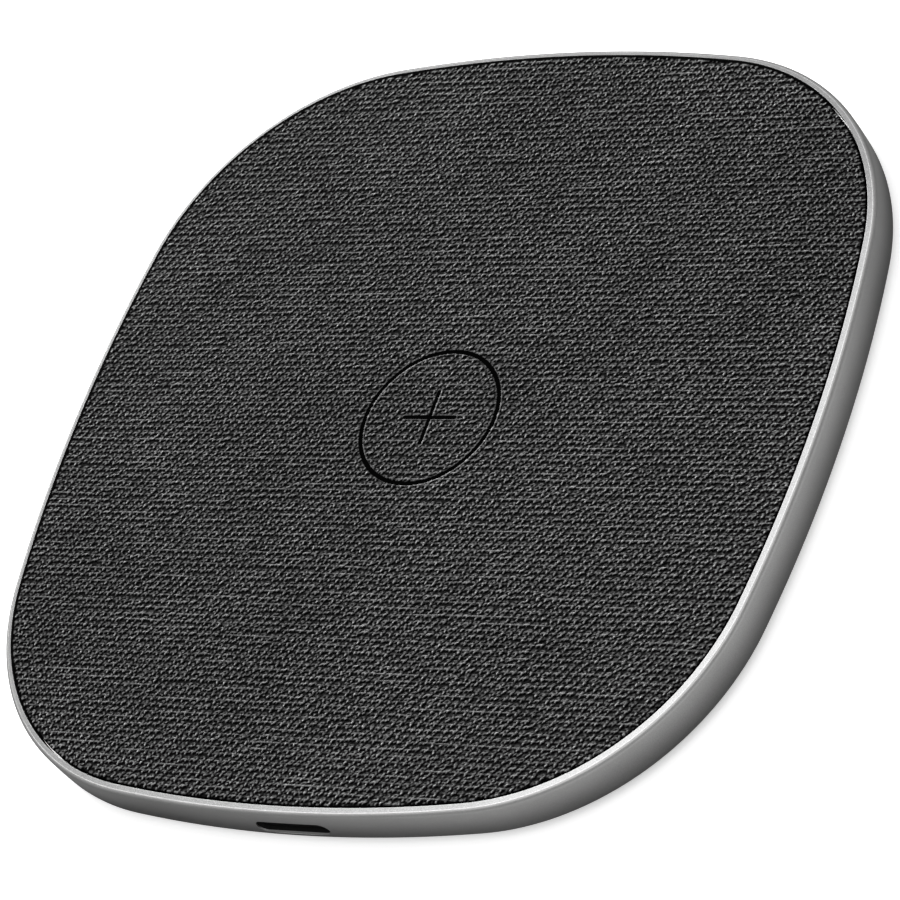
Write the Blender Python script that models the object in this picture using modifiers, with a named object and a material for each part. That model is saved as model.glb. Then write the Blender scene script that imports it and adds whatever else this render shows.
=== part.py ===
"""Slim wireless charging pad: a rounded-square aluminium frame with a fabric-covered top.

Frame of reference: +Z up, origin on the table under the pad's centre, port on the -Y side.
Everything is in metres. Flat layers are stacked from the table up, so each Z level below
is a height above the table.
"""

import math

import bmesh
import bpy
from mathutils import Matrix, Vector

MM = 0.001

# ---- driving dimensions -------------------------------------------------------------
PAD_WIDTH = 96.0 * MM  # across the flats of the rounded square
PAD_HEIGHT = 6.0 * MM  # table to the frame's top edge
SIDE_RADIUS = 162.9 * MM  # each side is a shallow arc
CORNER_RADIUS = 28.8 * MM
SIDE_STEPS = 8  # straight segments along one side arc
CORNER_STEPS = 16  # straight segments along one corner arc
FOOT_HEIGHT = 0.8 * MM  # the frame hangs this far above the table
CLEAR = 0.05 * MM  # gap between stacked or nested pieces

# Outline insets, measured inwards from the frame's widest outline.
RIM_INSET = 0.92 * MM  # inner edge of the frame's top face
TOP_INSET = 1.07 * MM  # edge of the top plate and its fabric
LEDGE_INSET = 3.6 * MM  # inner edge of the ledge that carries the top plate
WALL_INSET = 1.9 * MM  # inner face of the frame's side wall
COVER_INSET = 2.0 * MM
FOOT_OUTER_INSET = 3.8 * MM
FOOT_INNER_INSET = 8.6 * MM

# ---- heights of the stack -----------------------------------------------------------
FRAME_BOTTOM = FOOT_HEIGHT
COVER_TOP = FRAME_BOTTOM + 1.3 * MM
CHANNEL_DEPTH = 0.15 * MM  # groove in the cover that locates the foot ring
LEDGE_BOTTOM = PAD_HEIGHT - 2.5 * MM
LEDGE_TOP = PAD_HEIGHT - 1.55 * MM
TAPE = 0.1 * MM
PLATE_BOTTOM = LEDGE_TOP + TAPE + 2 * CLEAR
PLATE_TOP = PAD_HEIGHT - 0.5 * MM
FABRIC_BOTTOM = PLATE_TOP + CLEAR
FABRIC_TOP = PAD_HEIGHT + 0.05 * MM
EMBOSS_DEPTH = 0.25 * MM
WIRE = 0.9 * MM  # litz wire diameter
COIL_Z = PLATE_BOTTOM - TAPE - 2 * CLEAR - WIRE / 2
FERRITE_TOP = COIL_Z - WIRE / 2 - 0.1 * MM
FERRITE_BOTTOM = FERRITE_TOP - 0.8 * MM
FOAM_BOTTOM = COVER_TOP + CLEAR
FOAM_TOP = FERRITE_BOTTOM - CLEAR
BOARD_BOTTOM = COVER_TOP + 0.3 * MM
BOARD_TOP = BOARD_BOTTOM + 0.8 * MM
ON_BOARD = BOARD_TOP + CLEAR

# ---- charging coil ------------------------------------------------------------------
COIL_INNER_RADIUS = 9.3 * MM
COIL_PITCH = 1.0 * MM
COIL_START_DEG = -80
COIL_TURN_STEPS = 20
COIL_STEPS = 12 * COIL_TURN_STEPS + 15  # ends heading towards -Y, at 180 + 10 degrees
FERRITE_RADIUS = 26.0 * MM
LEAD_SLOT = (-2.0 * MM, 2.2 * MM)  # the ferrite's slot for the leads, along X
LEAD_SLOT_START = -4.0 * MM  # its inner end, along Y
COIL_LEAD_X = -1.2 * MM
SENSOR_LEAD_X = 1.3 * MM
SENSOR_LEAD_SPREAD = 0.45 * MM

# ---- embossed target on the fabric --------------------------------------------------
RING_RADIUS = 8.29 * MM
GROOVE_WIDTH = 0.6 * MM
CROSS_ARM = 3.2 * MM  # half the length of each stroke of the centring cross

# ---- USB-C port ---------------------------------------------------------------------
PORT_Z = PAD_HEIGHT - 3.2 * MM
PORT_SLOT = (9.1 * MM, 2.6 * MM)  # opening in the frame
SLOT_BEVEL = 0.22 * MM
PORT_MOUTH = (8.6 * MM, 2.5 * MM)  # opening in the plastic bezel
POCKET_INSET = 0.9 * MM  # the slot widens into a pocket behind this inset
BEZEL = (9.6 * MM, 3.2 * MM)
BEZEL_DEPTH = 0.4 * MM
POCKET_WIDTH = 10.0 * MM
POCKET_BOTTOM = FRAME_BOTTOM + 0.36 * MM
POCKET_BACK_Y = -38.8 * MM
SHELL = (8.94 * MM, 3.16 * MM)
SHELL_WALL = 0.3 * MM
SHELL_LENGTH = 7.3 * MM
SHELL_INSET = POCKET_INSET + BEZEL_DEPTH + 2 * CLEAR
TONGUE = (6.69 * MM, 0.7 * MM)
TONGUE_RECESS = 1.1 * MM  # tongue tip behind the shell's mouth
TONGUE_BASE_LENGTH = 1.8 * MM

# ---- fasteners ----------------------------------------------------------------------
COVER_SCREW_INSET = 6.2 * MM  # on the diagonals, hidden under the foot ring
COVER_SCREW = {"head": 1.5 * MM, "head_height": 0.45 * MM, "shank": 0.7 * MM, "length": 2.3 * MM}
BOARD_SCREW = {"head": 1.3 * MM, "head_height": 0.45 * MM, "shank": 0.6 * MM, "length": 1.7 * MM}
BOSS_RADIUS = 2.2 * MM
STANDOFF_RADIUS = 2.0 * MM
SCREW_CLEAR = 0.08 * MM
BOARD_SCREW_SPOTS = ((-25.5 * MM, -23.5 * MM), (25.5 * MM, -23.5 * MM), (0.0, -35.2 * MM))

# ---- main board ---------------------------------------------------------------------
BOARD_FRONT_Y = -43.2 * MM
BOARD_BACK_Y = -20.0 * MM
BOARD_HALF_WIDTH = 29.0 * MM
BOARD_CORNER = 5.0 * MM
BOARD_ARC_RADIUS = 27.2 * MM  # clears the ferrite
BOARD_ARC_STEPS = 14

# Name: (width X, depth Y, height Z), (centre X, centre Y), material.
BOARD_PARTS = {
    "controller_chip": ((5.0, 5.0, 0.85), (9.5, -34.0), "chip_black"),
    "mosfet_1": ((3.3, 3.3, 0.9), (-8.5, -34.0), "chip_black"),
    "mosfet_2": ((3.3, 3.3, 0.9), (-13.0, -34.0), "chip_black"),
    "resonant_capacitor_1": ((4.5, 3.2, 1.1), (-25.0, -28.5), "capacitor_tan"),
    "resonant_capacitor_2": ((4.5, 3.2, 1.1), (-25.0, -32.5), "capacitor_tan"),
    "resonant_capacitor_3": ((4.5, 3.2, 1.1), (-19.5, -28.5), "capacitor_tan"),
    "resonant_capacitor_4": ((4.5, 3.2, 1.1), (-19.5, -32.5), "capacitor_tan"),
    "power_inductor": ((5.0, 5.0, 1.1), (20.0, -31.0), "chip_grey"),
    "input_capacitor_1": ((3.2, 2.5, 1.1), (9.5, -40.0), "capacitor_tan"),
    "input_capacitor_2": ((3.2, 2.5, 1.1), (14.0, -40.0), "capacitor_tan"),
    "crystal": ((3.2, 2.5, 0.7), (14.5, -34.0), "steel"),
}

# Name: (base colour, roughness, metallic).
MATERIALS = {
    "aluminium": ((0.42, 0.43, 0.44), 0.35, 1.0),
    "fabric_charcoal": ((0.05, 0.05, 0.052), 0.95, 0.0),
    "plastic_black": ((0.02, 0.02, 0.022), 0.55, 0.0),
    "silicone": ((0.035, 0.035, 0.037), 0.8, 0.0),
    "steel": ((0.6, 0.6, 0.6), 0.3, 1.0),
    "copper": ((0.72, 0.33, 0.16), 0.4, 1.0),
    "ferrite_grey": ((0.07, 0.07, 0.075), 0.6, 0.0),
    "tape": ((0.85, 0.84, 0.78), 0.7, 0.0),
    "foam": ((0.09, 0.09, 0.09), 0.95, 0.0),
    "board_green": ((0.02, 0.16, 0.07), 0.4, 0.0),
    "chip_black": ((0.03, 0.03, 0.032), 0.45, 0.0),
    "chip_grey": ((0.16, 0.16, 0.17), 0.5, 0.0),
    "capacitor_tan": ((0.48, 0.35, 0.22), 0.5, 0.0),
    "glass_bead": ((0.55, 0.25, 0.12), 0.3, 0.0),
}


# ---- outline ------------------------------------------------------------------------
def outline(inset):
    """The rounded square, inset from the widest outline: four side arcs joined by four
    corner arcs, tangent where they meet. All insets share their arc centres."""
    side_centre = PAD_WIDTH / 2 - SIDE_RADIUS
    between = SIDE_RADIUS - CORNER_RADIUS
    corner_centre = (side_centre + math.sqrt(2 * between**2 - side_centre**2)) / 2
    joint = math.atan2(corner_centre, corner_centre - side_centre)
    quarter = []
    for i in range(SIDE_STEPS):
        angle = -joint + 2 * joint * i / SIDE_STEPS
        radius = SIDE_RADIUS - inset
        quarter.append((side_centre + radius * math.cos(angle), radius * math.sin(angle)))
    for i in range(CORNER_STEPS):
        angle = joint + (math.pi / 2 - 2 * joint) * i / CORNER_STEPS
        radius = CORNER_RADIUS - inset
        quarter.append(
            (corner_centre + radius * math.cos(angle), corner_centre + radius * math.sin(angle))
        )
    turned = []
    for quarter_turns in range(4):
        turn = Matrix.Rotation(quarter_turns * math.pi / 2, 2)
        turned += [tuple(turn @ Vector(point)) for point in quarter]
    return turned


def stadium(width, height, steps=8):
    """A slot shape centred on the origin: two half circles joined by straight sides."""
    radius = height / 2
    reach = width / 2 - radius
    points = []
    for side in (1, -1):
        for i in range(steps + 1):
            angle = math.pi * (i / steps - 0.5)
            points.append((side * (reach + radius * math.cos(angle)), side * radius * math.sin(angle)))
    return points


def circle(radius, steps=48, centre=(0.0, 0.0)):
    angles = [2 * math.pi * i / steps for i in range(steps)]
    return [(centre[0] + radius * math.cos(a), centre[1] + radius * math.sin(a)) for a in angles]


def four_corners(inset):
    """One spot on each diagonal, at an inset from the outline's corner."""
    at = max(min(x, y) for x, y in outline(inset))
    return [(sx * at, sy * at) for sx, sy in ((1, 1), (-1, 1), (-1, -1), (1, -1))]


# ---- modelling tools ----------------------------------------------------------------
def clear_scene():
    for obj in list(bpy.data.objects):
        bpy.data.objects.remove(obj, do_unlink=True)


def new_collection(name):
    collection = bpy.data.collections.new(name)
    bpy.context.scene.collection.children.link(collection)
    return collection


def material(name):
    found = bpy.data.materials.get(name)
    if found:
        return found
    colour, roughness, metallic = MATERIALS[name]
    made = bpy.data.materials.new(name)
    made.use_nodes = True
    shader = made.node_tree.nodes["Principled BSDF"]
    shader.inputs["Base Color"].default_value = (*colour, 1.0)
    shader.inputs["Roughness"].default_value = roughness
    shader.inputs["Metallic"].default_value = metallic
    return made


def place(obj, collection, material_name=None):
    collection.objects.link(obj)
    if material_name:
        obj.data.materials.append(material(material_name))
    return obj


def poly_spline(curve, points, cyclic):
    """Adds straight segments through 2D or 3D points."""
    spline = curve.splines.new("POLY")
    spline.points.add(len(points) - 1)
    for target, point in zip(spline.points, points):
        x, y, z = (*point, 0.0)[:3]
        target.co = (x, y, z, 1.0)
    spline.use_cyclic_u = cyclic


def sheet(name, rings, z_low, z_high):
    """A flat curve between two heights. The first ring is the outside, the rest are holes."""
    curve = bpy.data.curves.new(name, "CURVE")
    curve.dimensions = "2D"
    curve.fill_mode = "BOTH"
    curve.extrude = (z_high - z_low) / 2
    for ring in rings:
        poly_spline(curve, ring, True)
    obj = bpy.data.objects.new(name, curve)
    obj.location.z = (z_low + z_high) / 2
    return obj


def as_mesh(obj):
    """The evaluated curve as a mesh object in the same place, its loose caps welded on."""
    holder = bpy.context.scene.collection
    if obj.name not in holder.all_objects:
        holder.objects.link(obj)
    bpy.context.view_layer.update()
    graph = bpy.context.evaluated_depsgraph_get()
    mesh = bpy.data.meshes.new_from_object(obj.evaluated_get(graph))
    work = bmesh.new()
    work.from_mesh(mesh)
    bmesh.ops.remove_doubles(work, verts=work.verts, dist=1e-6)
    bmesh.ops.recalc_face_normals(work, faces=work.faces)
    work.to_mesh(mesh)
    work.free()
    name, matrix = obj.name, obj.matrix_world.copy()
    bpy.data.objects.remove(obj, do_unlink=True)
    made = bpy.data.objects.new(name, mesh)
    made.matrix_world = matrix
    return made


def box(name, low, high):
    work = bmesh.new()
    bmesh.ops.create_cube(work, size=1.0)
    centre = [(a + b) / 2 for a, b in zip(low, high)]
    size = [b - a for a, b in zip(low, high)]
    bmesh.ops.transform(work, matrix=Matrix.Diagonal((*size, 1.0)), verts=work.verts)
    return from_bmesh(name, work, centre)


def cylinder(name, radius, z_low, z_high, centre=(0.0, 0.0), segments=20):
    work = bmesh.new()
    bmesh.ops.create_cone(
        work,
        cap_ends=True,
        segments=segments,
        radius1=radius,
        radius2=radius,
        depth=z_high - z_low,
    )
    return from_bmesh(name, work, (*centre, (z_low + z_high) / 2))


def from_bmesh(name, work, location):
    mesh = bpy.data.meshes.new(name)
    work.to_mesh(mesh)
    work.free()
    obj = bpy.data.objects.new(name, mesh)
    obj.location = location
    return obj


def boolean(target, tool, operation):
    modifier = target.modifiers.new(f"{operation.lower()} {tool.name}", "BOOLEAN")
    modifier.operation = operation
    modifier.solver = "EXACT"
    modifier.object = tool
    return modifier


def helper(tool, collection):
    """Marks a cutter or a joined shape as no piece of its own."""
    collection.objects.link(tool)
    tool.hide_render = True
    tool.display_type = "WIRE"
    return tool


def soften(obj, width, segments=2):
    modifier = obj.modifiers.new("edges", "BEVEL")
    modifier.width = width
    modifier.segments = segments
    modifier.limit_method = "ANGLE"
    return modifier


def smooth(obj):
    obj.data.shade_smooth()
    obj.data.set_sharp_from_angle(angle=math.radians(35))


# ---- frame --------------------------------------------------------------------------
def frame_section():
    """The frame's cross section as (inset, height) points, from the inner top edge outwards,
    down the curved side and back up the inside."""
    top = PAD_HEIGHT
    bevel_width, bevel_drop = 0.50 * MM, 0.22 * MM
    shoulder_inset = RIM_INSET - bevel_width
    widest = top - 0.75 * MM
    foot_start = top - 4.1 * MM
    barrel = 0.1 * MM  # how far the side has drawn in where its lower edge starts to round
    foot_inset = 0.62 * MM
    points = [(RIM_INSET, top)]
    shoulder_drop = top - bevel_drop - widest
    for i in range(4):  # bright bevel's outer edge, rolling over to the widest height
        angle = math.pi / 2 * i / 4
        points.append(
            (shoulder_inset * (1 - math.sin(angle)), widest + shoulder_drop * math.cos(angle))
        )
    for i in range(4):  # barrelled side
        share = i / 4
        points.append((barrel * share**2, widest + (foot_start - widest) * share))
    for i in range(6):  # rounded lower edge
        angle = math.pi / 2 * i / 5
        points.append(
            (
                barrel + (foot_inset - barrel) * (1 - math.cos(angle)),
                foot_start - (foot_start - FRAME_BOTTOM) * math.sin(angle),
            )
        )
    points += [
        (WALL_INSET, FRAME_BOTTOM),
        (WALL_INSET, LEDGE_BOTTOM),
        (LEDGE_INSET, LEDGE_BOTTOM),
        (LEDGE_INSET, LEDGE_TOP),
        (RIM_INSET + 0.03 * MM, LEDGE_TOP),
    ]
    return points


def make_frame(parts, helpers):
    section_curve = bpy.data.curves.new("frame_section", "CURVE")
    section_curve.dimensions = "2D"
    poly_spline(section_curve, frame_section(), True)
    section = helper(bpy.data.objects.new("frame_section", section_curve), helpers)

    path = bpy.data.curves.new("frame", "CURVE")
    path.dimensions = "2D"
    path.bevel_mode = "OBJECT"
    path.bevel_object = section
    poly_spline(path, outline(0.0), True)
    frame = place(as_mesh(bpy.data.objects.new("frame", path)), parts, "aluminium")

    for i, spot in enumerate(four_corners(COVER_SCREW_INSET), start=1):
        boss, web, hole = frame_boss(i, spot)
        boolean(frame, helper(boss, helpers), "UNION")
        boolean(frame, helper(web, helpers), "UNION")
        boolean(frame, helper(hole, helpers), "DIFFERENCE")

    slot = as_mesh(across_port("port_slot", [stadium(*PORT_SLOT)], -1 * MM, 4 * MM))
    bevel = port_flare("port_slot_bevel", helpers)
    pocket_front = -PAD_WIDTH / 2 + POCKET_INSET
    pocket = box(
        "port_pocket",
        (-POCKET_WIDTH / 2, pocket_front, POCKET_BOTTOM),
        (POCKET_WIDTH / 2, POCKET_BACK_Y, LEDGE_TOP + 0.15 * MM),
    )
    boolean(frame, helper(slot, helpers), "DIFFERENCE")
    boolean(frame, bevel, "DIFFERENCE")
    boolean(frame, helper(pocket, helpers), "DIFFERENCE")
    smooth(frame)


def frame_boss(i, spot):
    """A cover screw's boss, the web that ties it to the frame's wall, and its blind hole."""
    bottom, top = COVER_TOP + CLEAR, LEDGE_TOP - 0.02 * MM
    boss = cylinder(f"boss_{i}", BOSS_RADIUS, bottom, top, spot)
    web_length = COVER_SCREW_INSET - WALL_INSET + 0.9 * MM
    half_width = BOSS_RADIUS * 0.8
    web = box(
        f"boss_web_{i}",
        (-web_length / 2, -half_width, bottom + 0.02 * MM),
        (web_length / 2, half_width, top - 0.02 * MM),
    )
    outwards = Vector(spot).normalized() * web_length / 2
    web.location.x = spot[0] + outwards.x
    web.location.y = spot[1] + outwards.y
    web.rotation_euler.z = math.atan2(outwards.y, outwards.x)
    hole_radius = COVER_SCREW["shank"] + SCREW_CLEAR
    hole = cylinder(f"boss_hole_{i}", hole_radius, FRAME_BOTTOM, LEDGE_TOP - 0.4 * MM, spot)
    return boss, web, hole


# ---- top ----------------------------------------------------------------------------
def stroke(length, width, turn):
    """One straight groove with round ends, turned about the pad's centre."""
    rotate = Matrix.Rotation(turn, 2)
    return [tuple(rotate @ Vector(p)) for p in stadium(length, width, 4)]


def make_top(parts, helpers):
    top_plate = sheet("top_plate", [outline(TOP_INSET)], PLATE_BOTTOM, PLATE_TOP)
    place(top_plate, parts, "plastic_black")

    tape_rings = [outline(TOP_INSET + 0.2 * MM), outline(LEDGE_INSET - 0.1 * MM)]
    tape_bottom = LEDGE_TOP + CLEAR
    place(sheet("top_plate_tape", tape_rings, tape_bottom, tape_bottom + TAPE), parts, "tape")

    fabric = as_mesh(sheet("top_fabric", [outline(TOP_INSET)], FABRIC_BOTTOM, FABRIC_TOP))
    place(fabric, parts, "fabric_charcoal")
    fabric_edge = soften(fabric, 0.25 * MM)
    fabric_edge.angle_limit = math.radians(60)
    groove_low, groove_high = FABRIC_TOP - EMBOSS_DEPTH, FABRIC_TOP + 1 * MM
    half = GROOVE_WIDTH / 2
    ring_rings = [circle(RING_RADIUS + half), circle(RING_RADIUS - half)]
    grooves = {
        "ring_groove": ring_rings,
        "cross_groove_x": [stroke(2 * CROSS_ARM, GROOVE_WIDTH, 0.0)],
        "cross_groove_y": [stroke(2 * CROSS_ARM, GROOVE_WIDTH, math.pi / 2)],
    }
    for name, rings in grooves.items():
        groove = as_mesh(sheet(name, rings, groove_low, groove_high))
        boolean(fabric, helper(groove, helpers), "DIFFERENCE")


# ---- bottom -------------------------------------------------------------------------
def make_bottom(parts, helpers):
    cover = as_mesh(sheet("bottom_cover", [outline(COVER_INSET)], FRAME_BOTTOM, COVER_TOP))
    place(cover, parts, "plastic_black")
    channel_rings = [
        outline(FOOT_OUTER_INSET - 0.1 * MM),
        outline(FOOT_INNER_INSET + 0.1 * MM),
    ]
    channel_top = FRAME_BOTTOM + CHANNEL_DEPTH
    channel = as_mesh(sheet("foot_channel", channel_rings, -1 * MM, channel_top))
    boolean(cover, helper(channel, helpers), "DIFFERENCE")

    foot_rings = [outline(FOOT_OUTER_INSET), outline(FOOT_INNER_INSET)]
    foot = as_mesh(sheet("foot_ring", foot_rings, 0.0, channel_top - CLEAR))
    soften(foot, 0.2 * MM, 1)
    place(foot, parts, "silicone")

    head_top = COVER_SCREW["head_height"] + channel_top + CLEAR
    for i, spot in enumerate(four_corners(COVER_SCREW_INSET), start=1):
        through = cylinder(
            f"cover_hole_{i}", COVER_SCREW["shank"] + SCREW_CLEAR, 0.0, 4 * MM, spot
        )
        sink = cylinder(
            f"cover_sink_{i}", COVER_SCREW["head"] + SCREW_CLEAR, 0.0, head_top + CLEAR, spot
        )
        boolean(cover, helper(through, helpers), "DIFFERENCE")
        boolean(cover, helper(sink, helpers), "DIFFERENCE")
    for i, spot in enumerate(BOARD_SCREW_SPOTS, start=1):
        standoff_top = BOARD_BOTTOM - CLEAR
        standoff = cylinder(f"standoff_{i}", STANDOFF_RADIUS, COVER_TOP - 0.5 * MM, standoff_top, spot)
        hole_bottom = FRAME_BOTTOM + 0.5 * MM
        hole = cylinder(
            f"standoff_hole_{i}", BOARD_SCREW["shank"] + SCREW_CLEAR, hole_bottom, 4 * MM, spot
        )
        boolean(cover, helper(standoff, helpers), "UNION")
        boolean(cover, helper(hole, helpers), "DIFFERENCE")
    well = box(
        "port_well",
        (-POCKET_WIDTH / 2, -PAD_WIDTH / 2, POCKET_BOTTOM),
        (POCKET_WIDTH / 2, POCKET_BACK_Y, 4 * MM),
    )
    boolean(cover, helper(well, helpers), "DIFFERENCE")
    smooth(cover)


# ---- coil assembly ------------------------------------------------------------------
def make_wire(name, points, diameter, material_name, parts):
    curve = bpy.data.curves.new(name, "CURVE")
    curve.dimensions = "3D"
    curve.bevel_depth = diameter / 2
    curve.bevel_resolution = 2
    curve.use_fill_caps = True
    poly_spline(curve, points, False)
    return place(bpy.data.objects.new(name, curve), parts, material_name)


def coil_path():
    """Inner lead up from the board, under the turns; then the spiral; then the outer lead."""
    under = (FERRITE_TOP + FERRITE_BOTTOM) / 2
    on_board = ON_BOARD + WIRE / 2
    x = COIL_LEAD_X
    points = [
        (x, -30.5 * MM, on_board),
        (x, -27.6 * MM, on_board),
        (x, -25.2 * MM, (under + on_board) / 2),
        (x, -22.9 * MM, under),
        (x, -10.6 * MM, under),
        (x, -9.3 * MM, under + 0.25 * MM),
        (x + 0.25 * MM, -8.3 * MM, (under + COIL_Z) / 2 + 0.2 * MM),
        (x + 1.1 * MM, -8.3 * MM, COIL_Z - 0.05 * MM),
    ]
    step = 2 * math.pi / COIL_TURN_STEPS
    for i in range(COIL_STEPS + 1):
        angle = math.radians(COIL_START_DEG) + i * step
        radius = COIL_INNER_RADIUS + COIL_PITCH * i / COIL_TURN_STEPS
        points.append((radius * math.cos(angle), radius * math.sin(angle), COIL_Z))
    end_x, end_y, _ = points[-1]
    points.append((end_x - 0.05 * MM, end_y - 6 * MM, COIL_Z))
    points.append((end_x - 0.05 * MM, -19 * MM, COIL_Z))
    points.append((end_x - 0.05 * MM, -23 * MM, on_board))
    return points


def make_coil_assembly(parts, helpers):
    make_wire("charging_coil", coil_path(), WIRE, "copper", parts)
    make_sensor(parts, helpers)
    tape_top = PLATE_BOTTOM - CLEAR
    tape_rings = [circle(22.4 * MM), circle(8.6 * MM)]
    place(sheet("coil_tape", tape_rings, tape_top - TAPE, tape_top), parts, "tape")

    for name, radius, z_low, z_high, look in (
        ("ferrite_sheet", FERRITE_RADIUS, FERRITE_BOTTOM, FERRITE_TOP, "ferrite_grey"),
        ("foam_pad", 20.0 * MM, FOAM_BOTTOM, FOAM_TOP, "foam"),
    ):
        disc = place(cylinder(name, radius, z_low, z_high, segments=64), parts, look)
        slot = box(
            f"{name}_slot",
            (LEAD_SLOT[0], -30 * MM, z_low - 1 * MM),
            (LEAD_SLOT[1], LEAD_SLOT_START, z_high + 1 * MM),
        )
        boolean(disc, helper(slot, helpers), "DIFFERENCE")


def make_sensor(parts, helpers):
    """A glass bead on two thin legs, all one soldered component."""
    bead_y = -3.6 * MM
    work = bmesh.new()
    bmesh.ops.create_uvsphere(work, u_segments=12, v_segments=8, radius=0.5 * MM)
    bead = from_bmesh("thermistor", work, (SENSOR_LEAD_X, bead_y, COIL_Z + 0.05 * MM))
    place(bead, parts, "glass_bead")
    under = (FERRITE_TOP + FERRITE_BOTTOM) / 2
    on_board = ON_BOARD + 0.18 * MM
    for i, side in enumerate((-1, 1), start=1):
        x = SENSOR_LEAD_X + side * SENSOR_LEAD_SPREAD
        points = [
            (x, -29.5 * MM, on_board),
            (x, -27.6 * MM, on_board),
            (x, -22.9 * MM, under),
            (x, -7.4 * MM, under),
            (x, -5.6 * MM, COIL_Z - 0.15 * MM),
            (SENSOR_LEAD_X + side * 0.25 * MM, bead_y - 0.2 * MM, COIL_Z),
        ]
        leg = as_mesh(make_wire(f"thermistor_leg_{i}", points, 0.3 * MM, "copper", helpers))
        boolean(bead, helper(leg, helpers), "UNION")


# ---- board --------------------------------------------------------------------------
def board_ring():
    """The board's outline: a strip behind the port with a bay around the ferrite."""
    arc_half = math.acos(-BOARD_BACK_Y / BOARD_ARC_RADIUS)
    notch_x, notch_y = POCKET_WIDTH / 2 - 0.2 * MM, POCKET_BACK_Y - 0.2 * MM
    w, c = BOARD_HALF_WIDTH, BOARD_CORNER
    ring = [
        (-w, BOARD_BACK_Y),
        (-w, BOARD_FRONT_Y + c),
        (-w + c, BOARD_FRONT_Y),
        (-notch_x, BOARD_FRONT_Y),
        (-notch_x, notch_y),
        (notch_x, notch_y),
        (notch_x, BOARD_FRONT_Y),
        (w - c, BOARD_FRONT_Y),
        (w, BOARD_FRONT_Y + c),
        (w, BOARD_BACK_Y),
    ]
    for i in range(BOARD_ARC_STEPS + 1):
        angle = -math.pi / 2 + arc_half * (1 - 2 * i / BOARD_ARC_STEPS)
        ring.append((BOARD_ARC_RADIUS * math.cos(angle), BOARD_ARC_RADIUS * math.sin(angle)))
    return ring


def make_board(parts):
    hole_radius = BOARD_SCREW["shank"] + SCREW_CLEAR
    holes = [circle(hole_radius, 16, spot) for spot in BOARD_SCREW_SPOTS]
    place(sheet("main_board", [board_ring(), *holes], BOARD_BOTTOM, BOARD_TOP), parts, "board_green")
    for name, (size, centre, look) in BOARD_PARTS.items():
        w, d, h = (s * MM for s in size)
        x, y = (c * MM for c in centre)
        chip = box(name, (x - w / 2, y - d / 2, ON_BOARD), (x + w / 2, y + d / 2, ON_BOARD + h))
        soften(chip, 0.12 * MM, 1)
        place(chip, parts, look)


# ---- port ---------------------------------------------------------------------------
def across_port(name, rings, front_inset, length):
    """A slot-shaped sheet that stands across the port, its front face at an inset."""
    obj = sheet(name, rings, -length / 2, length / 2)
    obj.rotation_euler.x = math.pi / 2
    obj.location = (0.0, -PAD_WIDTH / 2 + front_inset + length / 2, PORT_Z)
    return obj


def port_flare(name, helpers):
    """A cutter for the bevel round the port: a slot shape that widens outwards."""
    overshoot = 0.3 * MM
    work = bmesh.new()
    rings = []
    for grow, y in ((-0.01 * MM, SLOT_BEVEL), (SLOT_BEVEL + overshoot, -overshoot)):
        shape = stadium(PORT_SLOT[0] + 2 * grow, PORT_SLOT[1] + 2 * grow)
        rings.append([work.verts.new((x, y, z)) for x, z in shape])
    for i in range(len(rings[0])):
        j = (i + 1) % len(rings[0])
        work.faces.new((rings[0][i], rings[0][j], rings[1][j], rings[1][i]))
    work.faces.new(rings[0])
    work.faces.new(rings[1])
    bmesh.ops.recalc_face_normals(work, faces=work.faces)
    return helper(from_bmesh(name, work, (0.0, -PAD_WIDTH / 2, PORT_Z)), helpers)


def make_port(parts, helpers):
    bezel_rings = [stadium(*BEZEL), stadium(*PORT_MOUTH)]
    bezel = across_port("port_bezel", bezel_rings, POCKET_INSET + CLEAR, BEZEL_DEPTH)
    place(bezel, parts, "plastic_black")

    inner = stadium(SHELL[0] - 2 * SHELL_WALL, SHELL[1] - 2 * SHELL_WALL)
    place(
        across_port("usb_c_shell", [stadium(*SHELL), inner], SHELL_INSET, SHELL_LENGTH),
        parts,
        "steel",
    )
    shell_front = -PAD_WIDTH / 2 + SHELL_INSET
    shell_back = shell_front + SHELL_LENGTH
    tongue = box(
        "usb_c_tongue",
        (-TONGUE[0] / 2, shell_front + TONGUE_RECESS, PORT_Z - TONGUE[1] / 2),
        (TONGUE[0] / 2, shell_back - 0.1 * MM, PORT_Z + TONGUE[1] / 2),
    )
    place(tongue, parts, "plastic_black")
    base_size = [s - 2 * SHELL_WALL - CLEAR for s in SHELL]
    base_inset = SHELL_INSET + SHELL_LENGTH - TONGUE_BASE_LENGTH
    base = as_mesh(across_port("tongue_base", [stadium(*base_size)], base_inset, TONGUE_BASE_LENGTH))
    boolean(tongue, helper(base, helpers), "UNION")


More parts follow.
